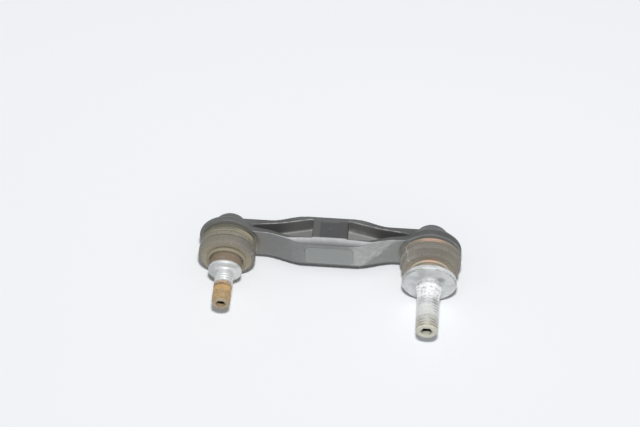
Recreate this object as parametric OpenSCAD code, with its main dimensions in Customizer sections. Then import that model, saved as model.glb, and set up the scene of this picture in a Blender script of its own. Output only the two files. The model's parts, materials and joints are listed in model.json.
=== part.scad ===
// Stabilizer link lying on its side: a moulded arm with a ball joint at each end.
// X runs along the arm from the M10 end to the M12 end, the studs point along -Y, and Z is up.
// The origin is on the table under the middle of the part.
// Profiles of round pieces are lists of [radius, distance from the ball centre towards the stud's tip].

/* [Arm] */
// Distance between the two ball centres
ball_spacing = 110; // [100:1:150]
// Height of the arm's H-section
arm_height = 20.5; // [17:0.5:22]
// Half-length of the straight stretch at the middle
middle_half = 13; // [12:0.5:16]
// Where the back face has curved in to the neck, from the middle
back_curve_end = 33; // [28:1:36]
// Where the front face has curved in to the neck, from the middle
front_curve_end = 37; // [28:1:38]
// Back face behind the line of the ball centres, at the necks
neck_back = 4.3; // [3.5:0.1:5.5]
// Front face before the line of the ball centres, at the necks
neck_front = 4.4; // [3.5:0.1:5.5]
// Back face behind the line of the ball centres, at the middle
middle_back = 8.3; // [7:0.1:10]
// Front face before the line of the ball centres, at the middle
middle_front = 9.1; // [8:0.1:11]
// Web between the upper and lower pockets
web_thickness = 1.8; // [1.2:0.1:4]
// Half-length of the solid block at the middle
block_half = 9.5; // [7:0.5:11]
// Back wall beside the block
back_wall = 1.8; // [1.4:0.1:3]
// Front wall beside the block
front_wall = 3.7; // [2.5:0.1:4.5]
// Wall round the pockets towards the necks
neck_wall = 2.7; // [2:0.1:3.2]
// Pocket tip from the ball centre
pocket_tip = 12; // [11.5:0.5:16]
// Height that the scooped chamfer takes off the front face
scoop_drop = 2.7; // [1.5:0.1:5]
// Radius of the scoop along the arm
scoop_radius = 290; // [150:10:400]
// Round where the arm's edges run into the housings
arm_fillet = 6; // [3:0.5:9]

/* [Moulded recesses] */
// Length of the shallow recess on the block
block_recess = 11; // [6:0.5:13]
// Border round the recess on the block
recess_border = 1; // [0.5:0.1:2]
// Depth of the shallow recesses
recess_depth = 0.4; // [0.2:0.1:0.8]
// Diameter of the ejector mark on the block
ejector_d = 3; // [2:0.5:5]
// Length of the bare panel on the front face
panel_length = 26; // [14:1:26]
// Height of the bare panel
panel_height = 14; // [8:0.5:15]
// How far the bare panel lies below the middle of the front face
panel_drop = 0.4; // [0:0.1:1]
// Corner radius of the bare panel
panel_round = 2.5; // [1:0.5:4]

/* [M10 end] */
// Ball diameter
m10_ball_d = 16; // [14:0.5:18]
// Shank behind the ball
m10_shank_d = 9; // [8:0.5:10]
// Stud's cylinder that the boot's lip runs on
m10_lip_seat_d = 13; // [12:0.5:14]
// Flange diameter
m10_flange_d = 18.1; // [17:0.1:22]
// Flange thickness
m10_flange_t = 2; // [1.5:0.1:3]
// Ball centre to the flange's face
m10_seat_distance = 25; // [24:0.5:32]
// Thread's outer diameter
m10_stud_d = 10; // [8:0.5:10]
// Stud beyond the flange's face
m10_stud_length = 21; // [16:0.5:40]
// Hex socket across flats
m10_hex = 5; // [4:0.5:5]
// Wall of the dome at its back
m10_dome_wall = 3.2; // [2.8:0.1:4]
// Rubber under the upper clamp ring
m10_bead_t = 1.2; // [1:0.1:2]
// Rim's front face from the ball centre
m10_rim_front = 2.4; // [2:0.1:3.5]
// How far the rim stands over the upper clamp ring
m10_rim_rise = 1.2; // [0.1:0.1:1.5]
// Straight part of the rim
m10_rim_width = 0.8; // [0.5:0.1:3]
// Round of the housing's shoulder
m10_shoulder_round = 4.5; // [2:0.5:6]
// Slope of the housing's shoulder, from straight across the stud
m10_shoulder_angle = 24; // [0:1:50]
// Back of the upper clamp ring from the rim's front face
m10_upper_ring_back = 2.6; // [1:0.1:3]
// How far the boot's collar stands over the upper clamp ring
m10_collar_rise = -0.1; // [-0.5:0.1:1]
// How far the boot's bulge stands over the collar
m10_bulge_rise = 0.6; // [-0.8:0.1:1.5]
// Depth of the groove between the boot's collar and its bulge
m10_boot_groove = 0.6; // [0.1:0.1:1]
// Boot's end face from the back of the flange
m10_lip_length = 6.4; // [5:0.1:8]
// Wire diameter of the lower clamp ring
m10_wire_d = 2.2; // [1.2:0.1:2.4]

/* [M12 end] */
// Ball diameter
m12_ball_d = 17; // [15:0.5:19]
// Shank behind the ball
m12_shank_d = 10.4; // [9:0.1:11]
// Stud's cylinder that the boot's lip runs on
m12_lip_seat_d = 14.4; // [13.4:0.1:15]
// Flange diameter
m12_flange_d = 29.6; // [24:0.1:31]
// Flange thickness
m12_flange_t = 2.8; // [2:0.1:4]
// Ball centre to the flange's face
m12_seat_distance = 25; // [24:0.5:32]
// Thread's outer diameter
m12_stud_d = 12; // [10:0.5:12]
// Stud beyond the flange's face
m12_stud_length = 30.5; // [20:0.5:45]
// Hex socket across flats
m12_hex = 6; // [5:0.5:6]
// Wall of the dome at its back
m12_dome_wall = 2.9; // [2.6:0.1:4]
// Rubber under the upper clamp ring
m12_bead_t = 1.6; // [1:0.1:2.2]
// Rim's front face from the ball centre
m12_rim_front = 3.8; // [2:0.1:4]
// How far the rim stands over the upper clamp ring
m12_rim_rise = 0.7; // [0.1:0.1:1.5]
// Straight part of the rim
m12_rim_width = 2; // [0.5:0.1:4]
// Round of the housing's shoulder
m12_shoulder_round = 3; // [2:0.5:6]
// Slope of the housing's shoulder, from straight across the stud
m12_shoulder_angle = 46; // [0:1:50]
// Back of the upper clamp ring from the rim's front face
m12_upper_ring_back = 1.4; // [1:0.1:3]
// How far the boot's collar stands over the upper clamp ring
m12_collar_rise = 0.5; // [-0.5:0.1:1]
// How far the boot's bulge stands over the collar
m12_bulge_rise = -0.4; // [-0.8:0.1:1.5]
// Depth of the groove between the boot's collar and its bulge
m12_boot_groove = 0.5; // [0.1:0.1:1]
// Boot's end face from the back of the flange
m12_lip_length = 5.3; // [5:0.1:8]
// Wire diameter of the lower clamp ring
m12_wire_d = 1.5; // [1.2:0.1:2.4]

/* [Both ends] */
// Wall of the ball seat
seat_wall = 1.2; // [0.8:0.1:1.6]
// Greatest tilt of a stud from straight
tilt_limit = 26; // [15:1:28]
// Width of the retaining ring's shoulder in the housing
retainer_step = 1.35; // [1:0.05:1.8]
// Thickness of the retaining ring along the stud
retainer_t = 2.4; // [1.5:0.1:3]
// Wall of the housing round its mouth
mouth_wall = 1.6; // [1.2:0.1:2.4]
// Length of the housing's mouth beyond the retaining ring
mouth_overhang = 1; // [0.5:0.1:1.5]
// How far the lip at the mouth stands over the boot's seat
mouth_lip = 0.6; // [0.3:0.1:0.8]
// Dome centre behind the ball centre
dome_offset = 2.2; // [1.5:0.1:2.6]
// Radial thickness of the upper clamp rings
upper_ring_t = 1.4; // [0.8:0.1:1.6]
// Width of the upper clamp rings
upper_ring_width = 2.5; // [1.8:0.1:3]
// Wall of the boots
boot_wall = 1.8; // [1.3:0.1:2]
// Length of the boot's collar past the upper clamp ring
collar_length = 2.8; // [2:0.1:4]
// Round on the edges of a boot's collar
collar_round = 0.5; // [0.3:0.1:0.8]
// Round at the front of a boot's bulge
bulge_round = 2.2; // [1.5:0.1:3]
// How far the boot's end face is dished at the lip
dish = 1.3; // [0.5:0.1:2]
// Rubber of the lip under the lower clamp ring
lip_t = 2; // [1.6:0.1:3]
// Round between a flange and its stud
root_round = 1.5; // [0.5:0.1:2.5]
// Broken edges of flanges and clamp rings
edge_break = 0.3; // [0.1:0.1:0.5]
// Chamfer on a stud's tip
tip_chamfer = 0.8; // [0.5:0.1:1.5]
// Depth of a hex socket
hex_depth = 6; // [3:0.5:8]

/* [Fits] */
// Between ball and seat
ball_clearance = 0.05; // [0.02:0.01:0.1]
// Between pieces pressed into the housing
press_gap = 0.02; // [0.01:0.01:0.05]
// Between a boot and what it seals on
boot_gap = 0.1; // [0.05:0.01:0.2]
// Between a clamp ring and the rubber in it
ring_gap = 0.05; // [0.02:0.01:0.1]
// Between a tilted shank and the mouth
tilt_clearance = 0.35; // [0.2:0.05:0.6]
// Between the arm's end and the upper clamp ring or the boot's collar
collar_clearance = 0.3; // [0.2:0.05:0.6]

/* [Hidden] */
$fn = 96;

// The two ends share their shapes, so each pair below holds the M10 end's value and then the M12 end's.
M10 = 0;
M12 = 1;
ENDS = [M10, M12];
ball_x = [-ball_spacing / 2, ball_spacing / 2];
ball_r = [m10_ball_d, m12_ball_d] / 2;
shank_r = [m10_shank_d, m12_shank_d] / 2;
lip_seat_r = [m10_lip_seat_d, m12_lip_seat_d] / 2;
flange_r = [m10_flange_d, m12_flange_d] / 2;
stud_r = [m10_stud_d, m12_stud_d] / 2;
flange_front = [m10_seat_distance, m12_seat_distance];
flange_back = flange_front - [m10_flange_t, m12_flange_t];
stud_tip = flange_front + [m10_stud_length, m12_stud_length];
hex_flats = [m10_hex, m12_hex];
rim_front = [m10_rim_front, m12_rim_front];
rim_back = rim_front - [m10_rim_width, m12_rim_width];
shoulder_round = [m10_shoulder_round, m12_shoulder_round];
shoulder_angle = [m10_shoulder_angle, m12_shoulder_angle];
collar_rise = [m10_collar_rise, m12_collar_rise];
bulge_rise = [m10_bulge_rise, m12_bulge_rise];
bead_t = [m10_bead_t, m12_bead_t];
wire_r = [m10_wire_d, m12_wire_d] / 2;
dome_wall = [m10_dome_wall, m12_dome_wall];

// From the ball outwards: seat, mouth, boot's bead, upper clamp ring, rim and bulge.
seat_inner = [for (e = ENDS) ball_r[e] + ball_clearance];
seat_outer = [for (e = ENDS) seat_inner[e] + seat_wall];
mouth_r = [for (e = ENDS) seat_outer[e] + retainer_step];
neck_r = [for (e = ENDS) mouth_r[e] + mouth_wall];
bead_inner = [for (e = ENDS) neck_r[e] + boot_gap];
bead_r = [for (e = ENDS) bead_inner[e] + bead_t[e]];
upper_ring_inner = [for (e = ENDS) bead_r[e] + ring_gap];
upper_ring_r = [for (e = ENDS) upper_ring_inner[e] + upper_ring_t];
rim_r = upper_ring_r + [m10_rim_rise, m12_rim_rise];
collar_r = [for (e = ENDS) upper_ring_r[e] + collar_rise[e]];
groove_r = collar_r - [m10_boot_groove, m12_boot_groove];
bulge_r = [for (e = ENDS) collar_r[e] + bulge_rise[e]];
bulge_corner_r = [for (e = ENDS) bulge_r[e] - bulge_round];
dome_r = [for (e = ENDS) seat_outer[e] + dome_wall[e] - dome_offset];
lip_inner = [for (e = ENDS) lip_seat_r[e] + boot_gap];
lip_r = [for (e = ENDS) lip_inner[e] + lip_t];
wire_ring_r = [for (e = ENDS) lip_r[e] + ring_gap + wire_r[e]];

// Along the stud, from the ball centre to the tip.
// The seat ends where the shank's edge stops at the greatest tilt, with a little to spare.
seat_spare_angle = 2;
seat_wrap = [for (e = ENDS) asin(shank_r[e] / ball_r[e]) + tilt_limit + seat_spare_angle];
seat_front = [for (e = ENDS) seat_inner[e] * cos(seat_wrap[e])];
retainer_back = [for (e = ENDS) seat_front[e] + press_gap];
retainer_front = [for (e = ENDS) retainer_back[e] + retainer_t];
neck_front_end = [for (e = ENDS) retainer_front[e] + mouth_overhang];
upper_ring_back = rim_front + [m10_upper_ring_back, m12_upper_ring_back];
collar_back = [for (e = ENDS) upper_ring_back[e] + upper_ring_width + ring_gap];
collar_front = [for (e = ENDS) collar_back[e] + collar_length];
bulge_front = flange_back - [m10_lip_length, m12_lip_length];
lip_back = [for (e = ENDS) bulge_front[e] - dish];
dish_slope = [for (e = ENDS) dish / (bulge_corner_r[e] - lip_r[e])];
wire_ring_lift = [for (e = ENDS) (wire_r[e] + ring_gap) * sqrt(1 + pow(dish_slope[e], 2))];
wire_ring_at = [for (e = ENDS) lip_back[e] + dish_slope[e] * (wire_ring_r[e] - lip_r[e]) + wire_ring_lift[e]];
lip_seat_back = [for (e = ENDS) lip_back[e] - boot_wall];

// The whole part stands on the table with its box centred over the origin.
widest_r = [for (e = ENDS) max(rim_r[e], collar_r[e], bulge_r[e])];
back_end = max([for (e = ENDS) dome_offset + dome_r[e]]);
front_end = max(stud_tip);
place = [(widest_r[M10] - widest_r[M12]) / 2, (front_end - back_end) / 2, max(widest_r)];

arc_steps = 8;
curve_steps = 14;
cut = 1;

// Points on an arc, from one angle to another.
function arc(centre, radius, from, to, steps = arc_steps) =
    [for (i = [0:steps]) let (a = from + (to - from) * i / steps) centre + radius * [cos(a), sin(a)]];

// Smooth step from 1 at the middle stretch to 0 where the curve ends.
function ease(x, curve_end) =
    let (share = (x - middle_half) / (curve_end - middle_half))
    (1 + cos(180 * min(max(share, 0), 1))) / 2;

// Distance of the arm's two faces from the line of the ball centres, at x from the middle.
function back_face(x) = neck_back + (middle_back - neck_back) * ease(abs(x), back_curve_end);
function front_face(x) = neck_front + (middle_front - neck_front) * ease(abs(x), front_curve_end);
function curve_x(curve_end) =
    [for (i = [0:curve_steps]) middle_half + (curve_end - middle_half) * i / curve_steps];

// Radius that a shank at its greatest tilt sweeps, at a distance from the ball centre.
function swept_r(e, along) = along * tan(tilt_limit) + shank_r[e] / cos(tilt_limit) + tilt_clearance;

// Where a straight line that runs inwards first meets the housing's dome.
function meet_dome(e, start, towards) =
    let (centre = [0, -dome_offset])
    let (away = start - centre)
    let (along = -(towards * away))
    let (inside = along * along - away * away + dome_r[e] * dome_r[e])
    start + towards * (along - sqrt(max(inside, 0)));

module at_ball(e) {
    translate(place + [ball_x[e], 0, 0]) rotate([90, 0, 0]) children();
}

module revolve(points) {
    rotate_extrude() polygon(points);
}

// Plan of one half of the arm, from the middle to the ball's axis.
// The back runs down into the shoulder of the housing before it reaches the axis.
ramp_length = 6;
module arm_half_plan() {
    back = curve_x(back_curve_end);
    front = curve_x(front_curve_end);
    end_x = ball_spacing / 2;
    polygon(concat(
        [[0, middle_back]],
        [for (x = back) [x, back_face(x)]],
        [[end_x - ramp_length, neck_back], [end_x, 0], [end_x, -neck_front]],
        [for (i = [len(front) - 1:-1:0]) [front[i], -front_face(front[i])]],
        [[0, -middle_front]]));
}

// Side view of the flared end of the arm, rounded out to the housing's rim.
module arm_flare(e) {
    half = arm_height / 2;
    end_x = ball_spacing / 2;
    reach = sqrt(pow(rim_r[e] + arm_fillet, 2) - pow(half + arm_fillet, 2));
    meet = atan2(half + arm_fillet, reach);
    upper = arc([end_x - reach, half + arm_fillet], arm_fillet, -90, -meet);
    lower = [for (i = [arc_steps:-1:0]) [upper[i][0], -upper[i][1]]];
    top = upper[arc_steps][1];
    polygon(concat(upper, [[end_x, top], [end_x, -top]], lower));
}

// Plan of a pocket, from the block to its tip near the housing.
// Its sides bend at these shares of the way along the arm's curves.
back_knee_share = 0.7;
front_knee_share = 0.35;
front_bend_share = 0.8;
pocket_tip_half = 0.4;
module pocket_plan() {
    tip = ball_spacing / 2 - pocket_tip;
    back_knee = middle_half + (back_curve_end - middle_half) * back_knee_share;
    front_knee = middle_half + (front_curve_end - middle_half) * front_knee_share;
    front_bend = middle_half + (front_curve_end - middle_half) * front_bend_share;
    polygon([
        [block_half, middle_back - back_wall],
        [back_knee, back_face(back_knee) - neck_wall],
        [tip, pocket_tip_half],
        [tip, -pocket_tip_half],
        [front_bend, neck_wall - front_face(front_bend)],
        [front_knee, front_wall - middle_front],
        [block_half, front_wall - middle_front]]);
}

module rounded_panel(length, height, corner) {
    x = length / 2 - corner;
    z = height / 2 - corner;
    polygon(concat(
        arc([x, z], corner, 0, 90),
        arc([-x, z], corner, 90, 180),
        arc([-x, -z], corner, 180, 270),
        arc([x, -z], corner, 270, 360)));
}

// Long scoop that takes off the upper front edge, deepest at the middle.
module scoop() {
    half = arm_height / 2;
    slope = atan2(front_wall, scoop_drop);
    top = [0, front_wall - middle_front, half];
    outward = [0, -cos(slope), sin(slope)];
    translate(top + outward * scoop_radius) rotate([-slope, 0, 0])
        cylinder(h = 2 * arm_height, r = scoop_radius, center = true);
}

module arm() {
    half = arm_height / 2;
    front_edge = half - scoop_drop;
    panel_z = (front_edge - half) / 2 - panel_drop;
    difference() {
        for (e = ENDS) mirror([e == M10 ? 1 : 0, 0, 0]) {
            linear_extrude(height = arm_height, center = true) arm_half_plan();
            translate([0, -rim_back[e], 0]) rotate([90, 0, 0])
                linear_extrude(height = neck_front - rim_back[e]) arm_flare(e);
        }
        for (side = [0, 1], down = [0, 1]) mirror([side, 0, 0]) mirror([0, 0, down])
            translate([0, 0, web_thickness / 2]) linear_extrude(height = half) pocket_plan();
        scoop();
        for (up = [0, 1]) mirror([0, 0, up]) translate([0, 0, half - recess_depth]) {
            block_back = middle_back - back_wall;
            block_front = middle_front - front_wall;
            translate([0, (block_back - block_front) / 2, 0]) linear_extrude(height = cut)
                rounded_panel(block_recess, block_back + block_front - 2 * recess_border, recess_border);
            translate([0, 0, -recess_depth]) cylinder(h = cut, d = ejector_d);
        }
        translate([0, -middle_front + recess_depth, panel_z]) rotate([90, 0, 0]) linear_extrude(height = cut)
            rounded_panel(panel_length, panel_height, panel_round);
    }
}

// Outside of a housing: dome, shoulder, rim and the mouth that the boot sits on.
module housing_outside(e) {
    corner = [rim_r[e] - shoulder_round[e], rim_back[e]];
    shoulder = arc(corner, shoulder_round[e], shoulder_angle[e] - 90, 0);
    slope_end = meet_dome(e, shoulder[0], -[cos(shoulder_angle[e]), sin(shoulder_angle[e])]);
    lip_start = retainer_front[e];
    translate([0, 0, -dome_offset]) sphere(r = dome_r[e]);
    revolve(concat(
        [[0, slope_end[1]], slope_end],
        shoulder,
        [[rim_r[e], rim_front[e]], [neck_r[e], rim_front[e]], [neck_r[e], lip_start]],
        [[neck_r[e] + mouth_lip, lip_start], [neck_r[e] + mouth_lip, neck_front_end[e]]],
        [[0, neck_front_end[e]]]));
}

// Inside of a housing: round bottom for the seat, then the wider step for the retaining ring.
module housing_inside(e) {
    sphere(r = seat_outer[e]);
    cylinder(h = seat_front[e] + cut, r = seat_outer[e]);
    translate([0, 0, seat_front[e]]) cylinder(h = neck_front_end[e] - seat_front[e] + cut, r = mouth_r[e]);
}

// The arm's ends lean back from the boots, by this share of their height over the rim.
end_slope = 0.8;
module link_body() {
    color("dimgray") difference() {
        union() {
            difference() {
                translate(place) arm();
                for (e = ENDS) at_ball(e) translate([0, 0, rim_front[e]]) {
                    end_r = max(upper_ring_r[e], collar_r[e]) + collar_clearance;
                    cylinder(h = flange_back[e], r1 = end_r, r2 = end_r + flange_back[e] * end_slope);
                }
            }
            for (e = ENDS) at_ball(e) housing_outside(e);
        }
        for (e = ENDS) at_ball(e) housing_inside(e);
    }
}

// Ball, shank, boot seat, flange and stud, forged and turned in one piece.
module ball_stud(e) {
    taper_back = lip_seat_back[e] - (lip_seat_r[e] - shank_r[e]);
    tip_r = stud_r[e] - tip_chamfer;
    root = [stud_r[e] + root_round, flange_front[e] + root_round];
    at_ball(e) difference() {
        union() {
            sphere(r = ball_r[e]);
            revolve(concat(
                [[0, 0], [shank_r[e], 0], [shank_r[e], taper_back], [lip_seat_r[e], lip_seat_back[e]]],
                [[lip_seat_r[e], flange_back[e]], [flange_r[e] - edge_break, flange_back[e]]],
                [[flange_r[e], flange_back[e] + edge_break], [flange_r[e], flange_front[e] - edge_break]],
                [[flange_r[e] - edge_break, flange_front[e]]],
                arc(root, root_round, 270, 180),
                [[stud_r[e], stud_tip[e] - tip_chamfer], [tip_r, stud_tip[e]], [0, stud_tip[e]]]));
        }
        translate([0, 0, stud_tip[e] - hex_depth])
            cylinder(h = hex_depth + cut, d = hex_flats[e] / cos(30), $fn = 6);
    }
}

// Shell that wraps the ball past its equator.
module ball_seat(e) {
    outer = seat_outer[e] - press_gap;
    at_ball(e) difference() {
        union() {
            sphere(r = outer);
            cylinder(h = seat_front[e], r = outer);
        }
        sphere(r = seat_inner[e]);
        translate([0, 0, seat_front[e]]) cylinder(h = outer, r = outer + cut);
    }
}

// Ring that closes the mouth, with a bore coned to the tilted shank.
module retaining_ring(e) {
    outer = mouth_r[e] - press_gap;
    at_ball(e) revolve([
        [swept_r(e, retainer_back[e]), retainer_back[e]],
        [outer, retainer_back[e]],
        [outer, retainer_front[e]],
        [swept_r(e, retainer_front[e]), retainer_front[e]]]);
}

// Rubber boot: bead on the housing's mouth, collar, groove, bulge, dished end face and lip on the stud.
module boot(e) {
    bead_back = rim_front[e] + boot_gap;
    under_lip = neck_r[e] + mouth_lip + boot_gap;
    ring_back = upper_ring_back[e] - ring_gap;
    lip_front = flange_back[e] - boot_gap;
    corner = bulge_corner_r[e];
    inside_r = bulge_r[e] - boot_wall;
    inside_front = bulge_front[e] - boot_wall;
    inside_back = neck_front_end[e] + boot_gap;
    at_ball(e) revolve(concat(
        [[bead_inner[e], bead_back], [bead_r[e] + collar_round, bead_back]],
        [[bead_r[e] + collar_round, ring_back], [bead_r[e], ring_back], [bead_r[e], collar_back[e]]],
        arc([collar_r[e] - collar_round, collar_back[e] + collar_round], collar_round, -90, 0),
        arc([collar_r[e] - collar_round, collar_front[e] - collar_round], collar_round, 0, 45),
        [[groove_r[e], collar_front[e]]],
        arc([corner, collar_front[e] + bulge_round], bulge_round, -45, 0),
        arc([corner, bulge_front[e] - bulge_round], bulge_round, 0, 90),
        [[lip_r[e], lip_back[e]], [lip_r[e], lip_front]],
        [[lip_inner[e], lip_front], [lip_inner[e], lip_seat_back[e]]],
        [[corner, inside_front], [inside_r, inside_front - bulge_round]],
        [[inside_r, collar_front[e] + bulge_round]],
        [[under_lip, inside_back], [under_lip, retainer_front[e] - boot_gap]],
        [[bead_inner[e], retainer_front[e] - boot_gap]]));
}

// Flat spring band over the boot's bead.
module upper_clamp_ring(e) {
    front = upper_ring_back[e] + upper_ring_width;
    at_ball(e) revolve([
        [upper_ring_inner[e], upper_ring_back[e]],
        [upper_ring_r[e] - edge_break, upper_ring_back[e]],
        [upper_ring_r[e], upper_ring_back[e] + edge_break],
        [upper_ring_r[e], front - edge_break],
        [upper_ring_r[e] - edge_break, front],
        [upper_ring_inner[e], front]]);
}

// Spring wire ring round the boot's lip.
module lower_clamp_ring(e) {
    at_ball(e) rotate_extrude() translate([wire_ring_r[e], wire_ring_at[e]]) circle(r = wire_r[e]);
}

module m10_ball_stud() { color("silver") ball_stud(M10); }
module m10_ball_seat() { color("ivory") ball_seat(M10); }
module m10_retaining_ring() { color("gray") retaining_ring(M10); }
module m10_boot() { color("darkkhaki") boot(M10); }
module m10_upper_clamp_ring() { color("tan") upper_clamp_ring(M10); }
module m10_lower_clamp_ring() { color("khaki") lower_clamp_ring(M10); }
module m12_ball_stud() { color("gainsboro") ball_stud(M12); }
module m12_ball_seat() { color("ivory") ball_seat(M12); }
module m12_retaining_ring() { color("gray") retaining_ring(M12); }
module m12_boot() { color("rosybrown") boot(M12); }
module m12_upper_clamp_ring() { color("peru") upper_clamp_ring(M12); }
module m12_lower_clamp_ring() { color("sandybrown") lower_clamp_ring(M12); }

link_body();
m10_ball_stud();
m10_ball_seat();
m10_retaining_ring();
m10_boot();
m10_upper_clamp_ring();
m10_lower_clamp_ring();
m12_ball_stud();
m12_ball_seat();
m12_retaining_ring();
m12_boot();
m12_upper_clamp_ring();
m12_lower_clamp_ring();
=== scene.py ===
import json
import math

import bpy
import numpy as np
from mathutils import Matrix, Vector


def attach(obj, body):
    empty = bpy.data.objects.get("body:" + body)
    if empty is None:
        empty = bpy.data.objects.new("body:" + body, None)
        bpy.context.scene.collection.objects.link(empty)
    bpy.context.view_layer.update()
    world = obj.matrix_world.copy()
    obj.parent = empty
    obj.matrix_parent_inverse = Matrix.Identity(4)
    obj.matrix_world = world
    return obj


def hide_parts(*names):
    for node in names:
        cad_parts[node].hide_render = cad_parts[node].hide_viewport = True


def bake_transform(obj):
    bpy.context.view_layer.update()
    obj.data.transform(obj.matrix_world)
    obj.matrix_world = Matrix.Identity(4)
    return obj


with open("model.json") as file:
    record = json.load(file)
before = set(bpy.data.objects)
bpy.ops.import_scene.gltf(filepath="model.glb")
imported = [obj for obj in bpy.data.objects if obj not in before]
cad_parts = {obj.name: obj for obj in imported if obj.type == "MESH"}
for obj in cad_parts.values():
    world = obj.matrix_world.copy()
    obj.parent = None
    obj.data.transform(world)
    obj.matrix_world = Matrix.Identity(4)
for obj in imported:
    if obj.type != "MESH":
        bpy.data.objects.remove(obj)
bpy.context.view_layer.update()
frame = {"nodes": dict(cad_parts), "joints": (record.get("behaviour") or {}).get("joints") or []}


# Link body: one glass-filled polyamide moulding, an H-section arm between two domed ball housings.
# Its edges leave the mould soft. Years of use have scuffed the front, and road dust lies in the pockets.

MM = 0.001


class Finish:
    """A procedural finish: one Principled shader and short calls that add nodes and wire them to it.
    Places and sizes are in millimetres and colours are linear. Patterns lie on object coordinates, or on
    a mesh attribute that keeps the places at rest of a piece that bends."""

    def __init__(self, name, attribute=None):
        self.material = bpy.data.materials.new(name)
        self.material.use_nodes = True
        self.tree = self.material.node_tree
        self.shader = self.tree.nodes["Principled BSDF"]
        coordinates = self.add("TexCoord", {})
        metres = coordinates.outputs["Object"]
        if attribute:
            metres = self.add("Attribute", {}, attribute_name=attribute).outputs["Vector"]
        self.place = self.add("VectorMath", {0: metres, "Scale": 1 / MM}, operation="SCALE").outputs[0]
        self.x, self.y, self.z = self.add("SeparateXYZ", {0: self.place}).outputs
        facing = self.add("SeparateXYZ", {0: coordinates.outputs["Normal"]})
        self.facing_x, self.facing_y, self.facing_z = facing.outputs
        self.pointiness = self.add("NewGeometry", {}).outputs["Pointiness"]

    def add(self, kind, sockets, **settings):
        """A node with its settings. Sockets are given by name or index, as a value or another output."""
        made = self.tree.nodes.new("ShaderNode" + kind)
        for key, value in settings.items():
            setattr(made, key, value)
        for key, value in sockets.items():
            self.wire(made.inputs[key], value)
        return made

    def wire(self, socket, value):
        """Links an output to a socket, or sets the socket to a value."""
        if isinstance(value, bpy.types.NodeSocket):
            self.tree.links.new(value, socket)
        elif socket.type == "RGBA" and len(value) == 3:
            socket.default_value = (*value, 1)
        else:
            socket.default_value = value

    def noise(self, size, detail=2.0, stretch=(1, 1, 1), turn=(0, 0, 0)):
        """Noise from 0 to 1 with features of about that size, longer where stretched, after a turn."""
        turned = self.add("Mapping", {"Vector": self.place, "Rotation": turn})
        scale = [1 / (size * s) for s in stretch]
        laid = self.add("Mapping", {"Vector": turned.outputs[0], "Scale": scale})
        return self.add("TexNoise", {"Vector": laid.outputs[0], "Scale": 1, "Detail": detail}).outputs["Fac"]

    def math(self, operation, a, b=0.0):
        return self.add("Math", {0: a, 1: b}, operation=operation).outputs[0]

    def plus(self, a, b):
        return self.math("ADD", a, b)

    def minus(self, a, b):
        return self.math("SUBTRACT", a, b)

    def times(self, *values):
        product = values[0]
        for value in values[1:]:
            product = self.math("MULTIPLY", product, value)
        return product

    def most(self, a, b):
        return self.math("MAXIMUM", a, b)

    def away(self, value, place=0.0):
        """How far a value lies from a place, to either side."""
        return self.math("ABSOLUTE", self.minus(value, place))

    def span(self, a, b):
        """The length of the straight line over two sides at right angles."""
        return self.math("SQRT", self.plus(self.times(a, a), self.times(b, b)))

    def step(self, value, low, high):
        """0 up to low, 1 from high on, and smooth between."""
        sockets = {"Value": value, "From Min": low, "From Max": high}
        return self.add("MapRange", sockets, interpolation_type="SMOOTHSTEP").outputs[0]

    def fall(self, value, low, high):
        """1 up to low, 0 from high on, and smooth between."""
        return self.minus(1.0, self.step(value, low, high))

    def band(self, value, low, high, soft):
        """1 between low and high, fading over soft at both ends."""
        begun = self.step(value, low - soft, low + soft)
        ended = self.step(value, high - soft, high + soft)
        return self.minus(begun, ended)

    def between(self, share, low, high):
        """The number low at share 0 and high at share 1."""
        return self.add("MapRange", {"Value": share, "To Min": low, "To Max": high}).outputs[0]

    def mix(self, share, a, b):
        """Colour a at share 0 and colour b at share 1."""
        return self.add("Mix", {0: share, 6: a, 7: b}, data_type="RGBA").outputs[2]

    def relief(self, height, depth):
        """Bump from a height of 0 to 1, over a depth in millimetres, on top of any bump laid before."""
        bump = self.add("Bump", {"Height": height, "Distance": depth * MM, "Strength": 1.0})
        before = self.shader.inputs["Normal"].links
        if before:
            self.tree.links.new(before[0].from_socket, bump.inputs["Normal"])
        self.set(Normal=bump.outputs[0])

    def set(self, **sockets):
        """Values or outputs for the shader's own sockets, with _ for a space in a name."""
        for key, value in sockets.items():
            self.wire(self.shader.inputs[key.replace("_", " ")], value)


def dress(piece, finish):
    """The piece's only material is that finish."""
    piece.data.materials.clear()
    piece.data.materials.append(finish.material)


WELD_REACH = 0.002
SKIN_STEP = 0.45
link_body = frame["nodes"]["link_body"]
weld = link_body.modifiers.new("joined_faces", "WELD")
weld.merge_threshold = WELD_REACH * MM
skin = link_body.modifiers.new("even_skin", "REMESH")
skin.mode = "VOXEL"
skin.voxel_size = SKIN_STEP * MM
skin.use_smooth_shade = True
soften = link_body.modifiers.new("soft_mould_edges", "SMOOTH")
soften.factor = 0.5
soften.iterations = 4

ARM_MIDDLE = (-0.2, 21.425, 16.55)
BALL_SPACING = 110.0
ARM_TOP = 26.8
SCOOP_LOW = 24.1
WEB_TOP = 17.45
BLOCK_HALF = 9.5
PANEL = dict(half_length=13.0, half_height=7.0, corner=2.5, z=14.8)


def panel_distance(f):
    """Distance outside the bare panel's rounded outline on the front face, negative inside it: the length of
    what lies beyond the corners' centres, plus the greater of the two shortfalls, less the corner radius."""
    over_x = f.minus(f.away(f.x, ARM_MIDDLE[0]), PANEL["half_length"] - PANEL["corner"])
    over_z = f.minus(f.away(f.z, PANEL["z"]), PANEL["half_height"] - PANEL["corner"])
    corner = f.span(f.most(over_x, 0.0), f.most(over_z, 0.0))
    short = f.math("MINIMUM", f.most(over_x, over_z), 0.0)
    return f.minus(f.plus(corner, short), PANEL["corner"])


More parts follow.
